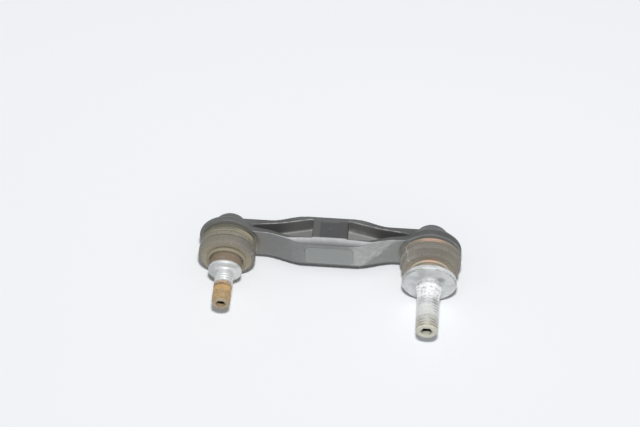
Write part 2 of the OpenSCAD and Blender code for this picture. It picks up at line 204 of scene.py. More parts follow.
def moulded_polyamide():
    """Dark grey plastic. Dust and painted light pale the front, more to the right, and scratches run up it.
    The bare panel has painted shade along its recessed upper edge, and painted shade darkens the front's
    lower edge.
    The scoop grows paler towards its top, the pockets hold dust, edges are pale with wear and painted
    highlight, and mud from the boots, painted lighter where it lies in shade, has spread over the arm's ends
    and the left rim."""
    f = Finish("moulded_polyamide")
    patch = f.noise(14, 3)
    mottle = f.noise(3, 4)
    ragged = f.times(f.minus(f.noise(4, 4), 0.5), 9.0)
    forward = f.times(f.facing_y, -1.0)
    upward = f.step(f.facing_z, 0.6, 0.9)
    from_middle = f.away(f.x, ARM_MIDDLE[0])
    on_right = f.step(f.x, -5.0, 5.0)
    at_top = f.step(f.z, ARM_TOP - 0.7, ARM_TOP - 0.4)
    colour = f.mix(mottle, (0.072, 0.073, 0.074), (0.108, 0.108, 0.105))
    colour = f.mix(f.times(f.fall(f.x, -46.0, -36.0), 0.6), colour, (0.150, 0.153, 0.148))

    block_top = f.times(upward, f.step(f.z, ARM_TOP - 1.3, ARM_TOP - 0.8),
                        f.fall(from_middle, BLOCK_HALF - 0.5, BLOCK_HALF + 0.5))
    colour = f.mix(f.times(block_top, 0.7), colour, (0.060, 0.060, 0.062))
    block_band = f.times(block_top, f.band(f.x, -9.4, -5.6, 0.4))
    colour = f.mix(f.times(block_band, 0.8), colour, (0.112, 0.112, 0.109))
    rear_top = f.times(upward, f.step(f.y, 26.5, 27.6))
    colour = f.mix(f.times(rear_top, 0.8), colour, (0.126, 0.128, 0.127))

    pocket_wall = f.times(f.step(forward, 0.5, 0.8), f.step(f.y, 20.0, 21.0), f.fall(from_middle, 44.0, 48.0))
    wall_tint = f.mix(f.step(from_middle, 18.0, 30.0), (0.166, 0.165, 0.163), (0.100, 0.099, 0.098))
    colour = f.mix(pocket_wall, colour, wall_tint)
    block_side = f.times(f.step(f.facing_x, 0.5, 0.8), f.band(f.x, BLOCK_HALF - 2.0, BLOCK_HALF + 1.5, 0.5))
    right_wall = f.plus(block_side, f.times(pocket_wall, f.step(f.x, 0.0, 5.0), f.fall(f.x, 14.0, 28.0)))
    low_wall = f.times(right_wall, f.fall(f.z, WEB_TOP + 1.5, WEB_TOP + 5.0),
                       f.between(f.step(mottle, 0.4, 0.6), 0.3, 0.8))
    colour = f.mix(low_wall, colour, (0.33, 0.328, 0.32))

    front = f.times(f.step(forward, 0.72, 0.95), f.fall(f.y, 18.0, 19.0))
    diagonal = f.plus(f.plus(f.minus(f.z, f.x), 10.0), ragged)
    # Dust and painted light: the front faces are painted paler, most on the right.
    left_dust_and_light = f.mix(f.step(f.plus(f.x, ragged), -30.0, -8.0), (0.205, 0.205, 0.206), (0.240, 0.241, 0.240))
    right_dust_and_light = f.mix(f.step(diagonal, -3.0, 2.0), (0.275, 0.290, 0.282), (0.435, 0.437, 0.430))
    dust = f.mix(f.step(f.x, 8.0, 16.0), left_dust_and_light, right_dust_and_light)
    colour = f.mix(f.times(front, f.between(f.step(mottle, 0.3, 0.7), 0.78, 1.0)), colour, dust)
    distance = panel_distance(f)
    colour = f.mix(f.times(front, f.fall(distance, -0.2, 0.1), 0.85), colour, (0.280, 0.298, 0.290))
    # Painted shade: a dark line along the recessed panel's upper edge and sides.
    outline = f.times(f.band(distance, -0.15, 0.35, 0.2), f.between(f.step(patch, 0.35, 0.6), 0.15, 0.6),
                      f.step(f.z, 8.5, 13.0))
    colour = f.mix(f.times(front, outline), colour, (0.090, 0.090, 0.088))
    # Painted shade along the lower edge of the front.
    lower_edge_shade = f.times(f.fall(f.plus(f.z, f.times(ragged, 0.06)), 7.0, 8.2), f.band(f.x, -20.0, 30.0, 10.0))
    colour = f.mix(f.times(front, lower_edge_shade, 0.9), colour, (0.105, 0.105, 0.098))

    streaks = f.step(f.noise(1.6, 5, (2.5, 1, 1), (0, 0.75, 0)), 0.46, 0.62)
    scuffed = f.times(streaks, front, f.band(diagonal, -1.5, 4.0, 2.0), f.band(f.x, 15.0, 36.0, 3.0))
    colour = f.mix(f.times(scuffed, 0.6), colour, (0.54, 0.54, 0.53))

    # The scoop is painted paler towards its top, with a pale band along its top edge.
    scoop = f.times(f.band(forward, 0.42, 0.74, 0.08), f.step(f.z, SCOOP_LOW - 0.9, SCOOP_LOW),
                    f.fall(f.y, 17.0, 18.0))
    scoop_paler_upward = f.mix(f.step(f.z, SCOOP_LOW + 0.2, ARM_TOP), (0.105, 0.105, 0.106), (0.46, 0.46, 0.47))
    colour = f.mix(f.times(scoop, f.between(f.step(mottle, 0.35, 0.65), 0.78, 1.0)), colour, scoop_paler_upward)
    scoop_lip = f.times(at_top, f.band(forward, 0.15, 0.5, 0.08), f.fall(f.y, 18.0, 19.0),
                        f.fall(from_middle, 22.0, 30.0))
    lip_share = f.between(f.noise(6, 2, (3, 1, 1)), 0.4, 0.8)
    colour = f.mix(f.times(scoop_lip, lip_share), colour, (0.58, 0.58, 0.58))

    floor_dust = f.times(upward, f.band(f.z, WEB_TOP - 0.8, WEB_TOP + 0.8, 0.3))
    floor_tint = f.mix(on_right, (0.236, 0.234, 0.230), (0.290, 0.288, 0.281))
    colour = f.mix(f.times(floor_dust, f.between(f.noise(6, 3), 0.75, 1.0)), colour, floor_tint)
    fold = f.times(f.fall(f.pointiness, 0.455, 0.490), f.band(f.z, WEB_TOP - 0.5, WEB_TOP + 1.2, 0.4))
    colour = f.mix(f.times(fold, 0.7), colour, (0.38, 0.375, 0.36))

    # Wear and painted highlight: pale lines along the pockets' edges and their upper lips.
    edge_wear_and_highlight = f.times(f.step(f.pointiness, 0.535, 0.580), f.step(f.z, 20.0, 24.0),
                   f.between(f.step(from_middle, 37.0, 41.0), 1.0, 0.4),
                   f.between(f.step(f.x, -24.0, -12.0), 0.25, 1.0),
                   f.between(f.step(f.noise(5, 4), 0.4, 0.65), 0.15, 0.9))
    colour = f.mix(edge_wear_and_highlight, colour, (0.50, 0.50, 0.48))
    pocket_lip = f.times(at_top, f.band(forward, 0.35, 0.8, 0.1), f.step(f.y, 21.0, 22.0),
                         f.band(from_middle, BLOCK_HALF, 38.0, 0.6),
                         f.between(f.step(f.noise(4, 4), 0.35, 0.6), 0.2, 0.9))
    colour = f.mix(pocket_lip, colour, (0.41, 0.41, 0.40))

    inward = f.minus(BALL_SPACING / 2, from_middle)
    from_boot = f.plus(f.span(inward, f.minus(f.z, ARM_MIDDLE[2])), f.times(ragged, 0.25))
    # Mud and painted light on the left rim's front face, which lies in shade; more to the right.
    rim_dust_and_light = f.times(f.band(from_boot, 13.6, 15.4, 0.4), f.step(forward, 0.6, 0.9), f.fall(f.x, -5.0, 0.0))
    rim_share = f.plus(f.between(patch, 0.25, 0.45), f.times(f.step(inward, 8.0, 13.0), 0.5))
    colour = f.mix(f.times(rim_dust_and_light, rim_share), colour, (0.340, 0.330, 0.285))
    # Mud from the boots on the arm's ends, with painted light on the faces that lie in shade.
    boot_dust_and_light = f.times(f.fall(from_boot, 19.0, 25.0), f.fall(f.y, 18.5, 20.0), f.step(inward, 6.0, 12.0),
                        f.fall(f.z, 23.0, 27.0))
    painted_light_on_shade = f.fall(forward, 0.80, 0.95)
    m10_dust_and_light = f.mix(painted_light_on_shade, (0.205, 0.203, 0.188), (0.470, 0.450, 0.375))
    m12_dust_and_light = f.mix(painted_light_on_shade, (0.262, 0.268, 0.252), (0.310, 0.305, 0.270))
    colour = f.mix(f.times(boot_dust_and_light, 0.85), colour, f.mix(on_right, m10_dust_and_light, m12_dust_and_light))
    f.set(Base_Color=colour, Roughness=f.between(mottle, 0.42, 0.62), Specular_IOR_Level=0.4)
    f.relief(f.noise(0.5, 3), 0.04)
    f.relief(scuffed, 0.03)
    return f


dress(link_body, moulded_polyamide())


# Ball studs: cold-forged steel, zinc plated, each a ball, shank, lip seat, round flange and threaded end in
# one piece. The thread is rolled, and the hexagon in the tip takes the key that holds the stud under its nut.

joint = {j["name"]: j for j in frame["joints"]}
ball_centre = {end: np.array(joint[end + "_swing"]["pos_m"]) for end in ("m10", "m12")}
ROUND_STEPS = 96
SHARP_ANGLE = math.radians(38)


def arc_fillet(before, corner, after, radius, steps=6):
    """The points of the arc of that radius that rounds off a corner between two straight lines."""
    to_before = (before - corner) / np.linalg.norm(before - corner)
    to_after = (after - corner) / np.linalg.norm(after - corner)
    half = math.acos(np.clip(to_before @ to_after, -1, 1)) / 2
    reach = radius / math.tan(half)
    middle = corner + (to_before + to_after) / np.linalg.norm(to_before + to_after) * radius / math.sin(half)
    first = corner + to_before * reach - middle
    last = corner + to_after * reach - middle
    turn = np.linspace(0, 1, steps + 1)[:, None]
    swept = math.pi - 2 * half
    return middle + (np.sin((1 - turn) * swept) * first + np.sin(turn * swept) * last) / math.sin(swept)


def profile(corners, longest=0.6, closed=False):
    """A polyline [radius, distance] through corners [radius, distance, round], with an arc at each round
    and no straight stretch longer than the given length."""
    points = np.array([c[:2] for c in corners], float)
    count = len(points)
    rounded = []
    for i in range(count):
        inner = closed or 0 < i < count - 1
        if inner and corners[i][2] > 0:
            rounded.append(arc_fillet(points[i - 1], points[i], points[(i + 1) % count], corners[i][2]))
        else:
            rounded.append(points[i:i + 1])
    line = np.concatenate(rounded + ([rounded[0][:1]] if closed else []))
    pieces = []
    for a, b in zip(line[:-1], line[1:]):
        cuts = max(1, math.ceil(np.linalg.norm(b - a) / longest))
        pieces.append(a + (b - a) * np.arange(cuts)[:, None] / cuts)
    return np.concatenate(pieces + ([] if closed else [line[-1:]]))


def skinned(name, points, closed=False):
    """A piece whose surface runs over a grid of points [i, j]. It always closes round in j. In i it is shut
    by a pole at each end, or it runs round into itself. The places at rest are kept as an attribute."""
    stations, steps = points.shape[:2]
    number = np.arange(stations * steps).reshape(stations, steps)
    rows = np.concatenate([number, number[:1]]) if closed else number
    a = rows[:-1]
    b = rows[1:]
    faces = np.stack([a, np.roll(a, -1, 1), np.roll(b, -1, 1), b], axis=-1).reshape(-1, 4).tolist()
    vertices = points.reshape(-1, 3)
    if not closed:
        first, last = len(vertices), len(vertices) + 1
        vertices = np.concatenate([vertices, points[:1].mean(1), points[-1:].mean(1)])
        faces += np.stack([np.roll(number[0], -1), number[0], np.full(steps, first)], axis=-1).tolist()
        faces += np.stack([number[-1], np.roll(number[-1], -1), np.full(steps, last)], axis=-1).tolist()
    mesh = bpy.data.meshes.new(name)
    mesh.from_pydata(vertices.tolist(), [], faces)
    mesh.attributes.new("rest_place", "FLOAT_VECTOR", "POINT").data.foreach_set("vector", vertices.ravel())
    mesh.shade_smooth()
    mesh.set_sharp_from_angle(angle=SHARP_ANGLE)
    piece = bpy.data.objects.new(name, mesh)
    bpy.context.scene.collection.objects.link(piece)
    return piece


def about_stud(end, radius, along, angle):
    """Points round a stud's axis, which leaves the ball centre along -Y: centre + (r cos, -along, r sin)."""
    return ball_centre[end] + MM * np.stack([radius * np.cos(angle), -along, radius * np.sin(angle)], axis=-1)


STUDS = {
    "m10": dict(ball=8.0, shank=4.5, lip_seat=6.5, taper=11.5, lip_back=13.5, flange=9.05, flange_back=23.0,
                face=25.0, root=5.0, root_round=1.5, thread=5.0, thread_from=2.6, run_in=7.0, pitch=1.5,
                depth=0.6, tip=46.0, hexagon=5.0, crust=0.0),
    "m12": dict(ball=8.5, shank=5.2, lip_seat=7.2, taper=11.8, lip_back=13.8, flange=14.8, flange_back=22.2,
                face=25.0, root=6.0, root_round=1.0, thread=6.0, thread_from=3.0, run_in=1.75, pitch=1.75,
                depth=0.8, tip=55.5, hexagon=6.0, crust=1.2),
}
FLANGE_CHAMFER = 0.7
TIP_CHAMFER = 0.8
SOCKET_DEPTH = 6.0
SOCKET_LEAD = 0.25
SOCKET_POINT = 0.8
STATIONS_PER_PITCH = 12
CRUST = dict(starts=1.6, rise=2.2, ends=9.5, fade=5.5)


def stud_surface(size):
    """Radius and distance of a whole stud, from the ball's back to the bottom of its socket.
    The thread is a helix: the depth at a point follows its distance over the pitch less its angle over a
    turn, through a trapezium wave that grows over the run-in. The socket's radius is its half-width over the
    cosine of the angle off a flat. A crust round the root is a hump along the stud, roughened by sines of the
    angle and the distance."""
    join = math.sqrt(size["ball"] ** 2 - size["shank"] ** 2)
    swing = np.linspace(math.pi - 0.03, math.atan2(size["shank"], join), 28)
    ball = np.stack([size["ball"] * np.sin(swing), size["ball"] * np.cos(swing)], axis=-1)
    start = size["face"] + size["thread_from"]
    neck = profile([
        (size["shank"], join, 0),
        (size["shank"], size["taper"], 0.8),
        (size["lip_seat"], size["lip_back"], 0.8),
        (size["lip_seat"], size["flange_back"], 0.5),
        (size["flange"], size["flange_back"], 0.4),
        (size["flange"], size["face"] - FLANGE_CHAMFER, 0.3),
        (size["flange"] - FLANGE_CHAMFER, size["face"], 0.3),
        (size["root"], size["face"], size["root_round"]),
        (size["thread"], start, 0)], longest=0.4)
    end = size["tip"] - TIP_CHAMFER
    stations = math.ceil((end - start) / size["pitch"] * STATIONS_PER_PITCH)
    thread = np.stack([np.full(stations, size["thread"]), np.linspace(start, end, stations + 1)[1:]], axis=-1)
    mouth = size["hexagon"] / 2 / math.cos(math.pi / 6) + SOCKET_LEAD
    nose = profile([
        (size["thread"], end, 0),
        (size["thread"] - TIP_CHAMFER, size["tip"], 0.2),
        (mouth, size["tip"], 0)], longest=0.4)[1:]
    turned = np.concatenate([ball, neck[1:], thread, nose])
    radius = np.repeat(turned[:, :1], ROUND_STEPS, axis=1)
    along = np.repeat(turned[:, 1:], ROUND_STEPS, axis=1)
    angle = np.linspace(0, 2 * math.pi, ROUND_STEPS, endpoint=False)
    phase = np.mod(along / size["pitch"] - angle / (2 * math.pi), 1.0)
    groove = np.clip((0.5 - np.abs(phase - 0.5)) * 4 - 0.25, 0, 1)
    run_in = np.clip((along - start) / size["run_in"], 0, 1)
    run_out = np.clip((size["tip"] - along) / size["pitch"], 0, 1)
    radius = radius - groove * run_in * run_out * size["depth"]
    rise = np.clip((along - size["face"] - CRUST["starts"]) / CRUST["rise"], 0, 1)
    fade = np.clip((size["face"] + CRUST["ends"] - along) / CRUST["fade"], 0, 1)
    wander = 13 * angle - 4.7 * along + 2 * np.sin(3 * angle)
    crumbs = 0.9 + 0.2 * np.sin(7 * angle + 3.1 * along) + 0.17 * np.sin(wander)
    radius = radius + size["crust"] * rise * rise * (3 - 2 * rise) * fade * fade * crumbs
    flat = np.mod(angle, math.pi / 3) - math.pi / 6
    hexagon = size["hexagon"] / 2 / np.cos(flat)
    depth = np.array([SOCKET_LEAD, SOCKET_DEPTH, SOCKET_DEPTH, SOCKET_DEPTH + SOCKET_POINT])
    share = np.array([1.0, 1.0, 0.6, 0.05])
    socket_radius = share[:, None] * hexagon
    socket_along = np.repeat(size["tip"] - depth[:, None], ROUND_STEPS, axis=1)
    return np.concatenate([radius, socket_radius]), np.concatenate([along, socket_along]), angle


def stud_place(f, end):
    """Distance along a stud's axis from the ball centre, distance out from the axis, and the offsets to the
    right and upwards."""
    centre = ball_centre[end] / MM
    along = f.minus(float(centre[1]), f.y)
    aside = f.minus(f.x, float(centre[0]))
    above = f.minus(f.z, float(centre[2]))
    return along, f.span(aside, above), aside, above


def zinc_plate(end, size, clean, dull, painted_light_right, rim, groove_darkening, smears, coats):
    """Zinc plate, a little clouded, with painted light on its right side. Coats of rust or dirt begin at
    their distances from the ball centre. Round smears lie on the flange at their offsets, each with its
    reach. A dark line runs round the top of the flange's chamfer, the thread's grooves are darker near the
    tip and on the right, grease and painted shade darken the socket, and a white crust with dark specks may
    sit round the root."""
    f = Finish(end + "_zinc")
    along, out, aside, above = stud_place(f, end)
    face = size["face"]
    tip = size["tip"]
    crusted = float(size["crust"] > 0)
    cloud = f.noise(5, 3)
    blotch = f.noise(2, 4)
    fine = f.noise(0.4, 3)
    uneven = f.minus(blotch, 0.5)
    colour = f.mix(f.step(cloud, 0.35, 0.7), clean, dull)
    # Painted light: the right side of each stud is painted lighter.
    colour = f.mix(f.times(f.step(aside, -1.0, 6.0), painted_light_right), colour, (0.82, 0.83, 0.80))

    ragged = f.plus(along, f.times(uneven, 2.5))
    coated = f.step(ragged, coats[0][0] - 0.6, coats[0][0] + 0.6)
    flecked = f.step(f.plus(f.times(fine, 0.5), f.times(f.noise(1.3, 4, (2, 1, 1)), 0.5)), 0.38, 0.62)
    for begins, light, dark in coats:
        colour = f.mix(f.step(ragged, begins - 0.5, begins + 0.5), colour, f.mix(flecked, light, dark))

    smudge = f.times(f.step(f.noise(6, 3), 0.52, 0.70), f.band(along, face - 4.0, face + 2.6, 0.3))
    colour = f.mix(f.times(smudge, 0.25), colour, (0.38, 0.385, 0.375))
    on_face = f.band(along, face - 0.5, face + 0.4, 0.2)
    for smear_x, smear_z, reach in smears:
        off_smear = f.plus(f.span(f.minus(aside, smear_x), f.minus(above, smear_z)), uneven)
        smeared = f.times(f.fall(off_smear, reach * 0.25, reach), on_face)
        colour = f.mix(f.times(smeared, 0.7), colour, (0.30, 0.305, 0.295))
    # A dark line round the top of the flange's chamfer.
    rim_line = f.times(f.band(out, size["flange"] - 0.75, size["flange"] - 0.1, 0.15),
                       f.band(along, face - 0.75, face + 0.4, 0.15), f.step(above, -2.0, 6.0),
                       f.between(f.step(blotch, 0.4, 0.6), 0.4, 1.0))
    colour = f.mix(f.times(rim_line, rim), colour, (0.26, 0.26, 0.25))
    dusty = f.times(f.band(along, face + 0.15, face + 3.0, 0.15), crusted)
    root_dust = f.mix(f.step(blotch, 0.35, 0.6), (0.34, 0.345, 0.34), (0.54, 0.545, 0.54))
    colour = f.mix(f.times(dusty, 0.8), colour, root_dust)

    # The thread's grooves are painted darker, most near the tip to either side and along the right.
    sunk = f.times(f.step(f.minus(size["thread"], out), 0.15, size["depth"]),
                   f.step(along, face + 1.0, face + 3.0), f.fall(along, tip - 1.2, tip - 0.6))
    near_tip = f.times(f.step(along, tip - 8.0, tip - 4.5), f.step(f.away(aside), 0.5, 3.0))
    turned_away = f.times(f.step(aside, 1.5, 4.0), f.band(along, face + 8.0, face + 19.0, 2.0))
    dark_grooves = f.most(near_tip, f.times(turned_away, 0.7))
    colour = f.mix(f.times(sunk, f.between(dark_grooves, 0.1, groove_darkening)), colour, (0.16, 0.15, 0.13))
    crumbs = f.times(f.band(along, face + 2.6, face + 11.0, 1.2),
                     f.fall(out, size["thread"] + 1.8, size["thread"] + 2.4),
                     f.step(f.noise(1.4, 4), 0.36, 0.50), crusted)
    colour = f.mix(crumbs, colour, (0.90, 0.90, 0.91))
    specks = f.times(crumbs, f.step(f.noise(1.0, 3), 0.66, 0.72))
    colour = f.mix(f.times(specks, 0.65), colour, (0.20, 0.20, 0.20))
    # Grease and painted shade darken the deep part of the socket.
    in_socket = f.fall(out, size["hexagon"] * 0.57, size["hexagon"] * 0.62)
    socket_dark_edge = f.plus(along, f.times(uneven, 1.6))
    socket_grease_and_shade = f.times(in_socket, f.band(socket_dark_edge, tip - 9.0, tip - 0.45 * size["hexagon"], 0.5))
    colour = f.mix(socket_grease_and_shade, colour, (0.022, 0.016, 0.012))
    bare = f.minus(1.0, f.most(f.most(coated, f.most(crumbs, dusty)), socket_grease_and_shade))
    f.set(Base_Color=colour, Metallic=f.between(bare, 0.05, 0.7), Roughness=f.between(blotch, 0.42, 0.58))
    f.relief(fine, 0.02)
    f.relief(f.times(f.noise(0.8, 4), f.most(crumbs, coated)), 0.18)
    return f


STUD_LOOKS = {
    "m10": dict(clean=(0.64, 0.65, 0.65), dull=(0.545, 0.555, 0.55), painted_light_right=0.5, rim=0.4, groove_darkening=0.15, smears=[],
                coats=[(33.2, (0.55, 0.42, 0.28), (0.38, 0.27, 0.17)),
                       (35.3, (0.24, 0.15, 0.08), (0.19, 0.11, 0.06)),
                       (36.1, (0.70, 0.48, 0.23), (0.50, 0.32, 0.14)),
                       (38.8, (0.58, 0.42, 0.22), (0.35, 0.24, 0.13)),
                       (44.6, (0.43, 0.34, 0.22), (0.31, 0.25, 0.17))]),
    "m12": dict(clean=(0.70, 0.71, 0.71), dull=(0.58, 0.59, 0.585), painted_light_right=0.15, rim=0.8, groove_darkening=0.65,
                smears=[(6.3, 5.0, 3.2)],
                coats=[(40.0, (0.78, 0.79, 0.78), (0.68, 0.69, 0.67)),
                       (47.0, (0.68, 0.68, 0.64), (0.54, 0.54, 0.50)),
                       (52.0, (0.66, 0.64, 0.55), (0.52, 0.51, 0.43))]),
}
for end, size in STUDS.items():
    stud = skinned(end + "_stud", about_stud(end, *stud_surface(size)))
    dress(stud, zinc_plate(end, size, **STUD_LOOKS[end]))
    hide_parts(end + "_ball_stud")
    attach(stud, end + "_pin")


# Ball seats and retaining rings: a pale acetal shell round each ball, and the pressed steel ring that shuts
# it into the housing. Neither shows, because the boots cover them.

def acetal():
    """Off-white plastic with faint clouding and grease marks."""
    f = Finish("acetal")
    cloud = f.noise(3, 3)
    f.set(Base_Color=f.mix(cloud, (0.78, 0.75, 0.66), (0.62, 0.58, 0.47)),
          Roughness=f.between(cloud, 0.3, 0.5))
    f.relief(f.noise(0.4, 2), 0.02)
    return f


def pressed_steel():
    """Bare grey steel with turning marks and a film of grease."""
    f = Finish("pressed_steel")
    marks = f.noise(0.3, 2, (1, 8, 1))
    f.set(Base_Color=f.mix(marks, (0.30, 0.30, 0.30), (0.46, 0.45, 0.44)), Metallic=1.0,
          Roughness=f.between(marks, 0.3, 0.5))
    f.relief(marks, 0.02)
    return f


seat_finish = acetal()
retainer_finish = pressed_steel()
for end in STUDS:
    dress(frame["nodes"][end + "_ball_seat"], seat_finish)
    dress(frame["nodes"][end + "_retaining_ring"], retainer_finish)


# Boots: moulded rubber bellows full of grease, clamped on the housing's neck and on the stud's lip seat.
# Each is cut here through its barrel into two halves, a collar and a barrel.

BOOTS = {
    "m10": dict(bead_in=12.3, bead_back=2.5, bead=14.0, ring_back=4.95, under_ring=13.5, neck=12.9,
                collar_back=7.55, collar=14.85, collar_front=10.35, groove=14.25, seam=11.7, barrel=15.45,
                inner=13.65, front=16.6, shoulder=2.1, lip=8.6, lip_in=6.6, lip_back=15.3, lip_front=22.9,
                lip_seat=13.5),
    "m12": dict(bead_in=12.8, bead_back=3.9, bead=14.9, ring_back=5.15, under_ring=14.4, neck=13.4,
                collar_back=7.75, collar=16.5, collar_front=11.0, groove=15.2, seam=11.85, barrel=15.4,
                inner=14.15, front=16.9, shoulder=1.4, lip=9.3, lip_in=7.3, lip_back=15.6, lip_front=22.1,
                lip_seat=13.8),
}
BOOT_WALL = 1.8
TILT_ROOM = 2.6
BOOT_STEPS = 192


def boot_collar(size):
    """The half on the housing, as a closed outline to turn about the stud's axis: bead, seat of the upper
    clamp ring, collar, groove and the barrel's back."""
    return profile([
        (size["bead_in"], size["bead_back"], 0.2),
        (size["bead"], size["bead_back"], 0.3),
        (size["bead"], size["ring_back"], 0.2),
        (size["under_ring"], size["ring_back"], 0.1),
        (size["under_ring"], size["collar_back"], 0.1),
        (size["collar"], size["collar_back"], 0.6),
        (size["collar"], size["collar_front"] - 0.3, 0.8),
        (size["groove"], size["collar_front"], 0.15),
        (size["barrel"], size["collar_front"] + 0.7, 0.5),
        (size["barrel"], size["seam"], 0),
        (size["inner"], size["seam"], 0),
        (size["inner"], size["collar_front"] + 0.8, 0.4),
        (size["neck"], size["collar_back"] + 1.2, 0.4),
        (size["neck"], size["ring_back"] + 1.4, 0.1),
        (size["bead_in"], size["ring_back"] + 1.4, 0.1)], longest=0.5, closed=True)


def boot_barrel(size):
    """The half on the stud, as a closed outline to turn about the stud's axis: the barrel's front, its round
    shoulder, the dished end face and the lip. Behind the lip it widens inside, so the stud can tilt."""
    return profile([
        (size["inner"], size["seam"], 0),
        (size["barrel"], size["seam"], 0),
        (size["barrel"], size["front"], size["shoulder"]),
        (size["lip"], size["lip_back"], 0.5),
        (size["lip"], size["lip_front"], 0.4),
        (size["lip_in"], size["lip_front"], 0.2),
        (size["lip_in"], size["lip_back"] - 0.1, 0.1),
        (size["lip_in"] + TILT_ROOM, size["lip_seat"], 0.2),
        (size["inner"], size["front"] - BOOT_WALL, 1.2)], longest=0.5, closed=True)


PARTING = math.radians(143)


def boot_rubber(end, size, left, middle, right, collar, end_face_mud_and_light, dish_painted_light, lip, groove_share, groove_tint,
                parting_flash):
    """Dusty rubber whose tone changes from left to right round the barrel, partly as painted light and shade.
    The collar has its own tint of dried mud; the end face has mud and painted light, paler still in the
    dished hollow round the lip against its shade, and the bead carries painted shade under the housing's rim.
    The grooves are painted darker on one boot and lighter, as painted light against their shade, on the
    other. Pale scuffs cross the barrel, and the flash of the mould's parting line may run down its left."""
    f = Finish(end + "_rubber", "rest_place")
    along, out, aside, above = stud_place(f, end)
    patch = f.noise(6, 4)
    speck = f.noise(0.9, 4)
    uneven = f.minus(patch, 0.5)
    # Painted light and shade with the rubber's own tone, from left to right round the barrel.
    drift = f.plus(aside, f.times(uneven, 12.0))
    colour = f.mix(f.step(drift, -9.0, 9.0), left, right)
    colour = f.mix(f.times(f.fall(f.away(drift), 4.0, 12.0), 0.8), colour, middle)
    on_collar = f.fall(along, size["collar_front"] - 0.4, size["collar_front"])
    colour = f.mix(f.times(on_collar, 0.85), colour, collar)

    shoulder_in = size["barrel"] - size["shoulder"]
    facing_stud = f.times(f.step(along, size["front"] - 2.0, size["front"] - 0.4),
                          f.band(out, size["lip"] + 0.3, shoulder_in + 0.3, 0.5))
    # Mud and painted light on the end face; the dished hollow round the lip is painted lighter still against
    # its shade.
    colour = f.mix(f.times(facing_stud, f.between(patch, 0.5, 1.0)), colour, end_face_mud_and_light)
    colour = f.mix(f.times(facing_stud, f.fall(out, size["lip"] + 1.2, size["lip"] + 4.5)), colour, dish_painted_light)
    colour = f.mix(f.fall(out, size["lip"] + 0.1, size["lip"] + 0.5), colour, lip)

    # Painted shade: the bead is dark under the housing's rim.
    shade_under_rim = f.fall(along, size["ring_back"] - 0.5, size["ring_back"] + 0.2)
    colour = f.mix(f.times(shade_under_rim, 0.6), colour, (0.070, 0.066, 0.056))
    # The grooves are painted darker on the M10 boot; on the M12 boot they get painted light against their
    # shade.
    groove = f.plus(f.band(along, size["collar_front"] - 0.25, size["collar_front"] + 0.45, 0.35),
                    f.band(along, size["collar_back"] - 0.3, size["collar_back"] + 0.3, 0.2))
    colour = f.mix(f.times(groove, groove_share), colour, groove_tint)
    off_parting = f.plus(f.times(aside, math.sin(PARTING)), f.times(above, -math.cos(PARTING)))
    parting = f.times(f.band(f.plus(off_parting, uneven), -0.3, 0.3, 0.2), f.fall(aside, -3.0, -1.0))
    colour = f.mix(f.times(parting, parting_flash), colour, (0.54, 0.52, 0.46))
    scuffs = f.step(f.noise(1.6, 4, (3, 1, 1)), 0.60, 0.72)
    colour = f.mix(f.times(scuffs, 0.45), colour, (0.40, 0.385, 0.36))
    colour = f.mix(f.times(f.fall(speck, 0.32, 0.42), 0.5), colour, (0.085, 0.078, 0.064))
    f.set(Base_Color=colour, Roughness=f.between(patch, 0.55, 0.8), Specular_IOR_Level=0.3)
    f.relief(speck, 0.06)
    f.relief(f.noise(0.3, 2), 0.03)
    return f


BOOT_LOOKS = {
    "m10": dict(left=(0.242, 0.226, 0.182), middle=(0.234, 0.211, 0.175), right=(0.203, 0.186, 0.164),
                collar=(0.270, 0.250, 0.200), end_face_mud_and_light=(0.380, 0.342, 0.255), dish_painted_light=(0.500, 0.455, 0.345),
                lip=(0.245, 0.190, 0.140), groove_share=0.8, groove_tint=(0.070, 0.062, 0.048),
                parting_flash=0.0),
    "m12": dict(left=(0.285, 0.268, 0.238), middle=(0.182, 0.168, 0.145), right=(0.256, 0.239, 0.190),
                collar=(0.222, 0.200, 0.174), end_face_mud_and_light=(0.400, 0.350, 0.296), dish_painted_light=(0.540, 0.476, 0.400),
                lip=(0.360, 0.325, 0.260), groove_share=0.7, groove_tint=(0.330, 0.310, 0.275),
                parting_flash=0.9),
}


boot_angle = np.linspace(0, 2 * math.pi, BOOT_STEPS, endpoint=False)
for end, size in BOOTS.items():
    rubber = boot_rubber(end, size, **BOOT_LOOKS[end])
    made = {}
    for half, outline in (("collar", boot_collar(size)), ("barrel", boot_barrel(size))):
        radius = np.repeat(outline[:, :1], BOOT_STEPS, axis=1)
        along = np.repeat(outline[:, 1:], BOOT_STEPS, axis=1)
        made[half] = skinned(end + "_boot_" + half, about_stud(end, radius, along, boot_angle), closed=True)
        dress(made[half], rubber)
    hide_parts(end + "_boot")
    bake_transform(made["collar"])
    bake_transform(made["barrel"])


# Clamp rings: two turns of spring wire over each boot's bead, and a single wire ring round each lip.
# All are bare spring steel, sprung on over the rubber, and the wet has rusted them.

UPPER_RINGS = {
    "m10": dict(radius=14.25, back=5.0, front=7.5),
    "m12": dict(radius=15.15, back=5.2, front=7.7),
}
WIRE = 0.62
STEP_OVER = math.radians(24)
STEP_AT = math.radians(-100)
RING_STEPS = 384
WIRE_STEPS = 14


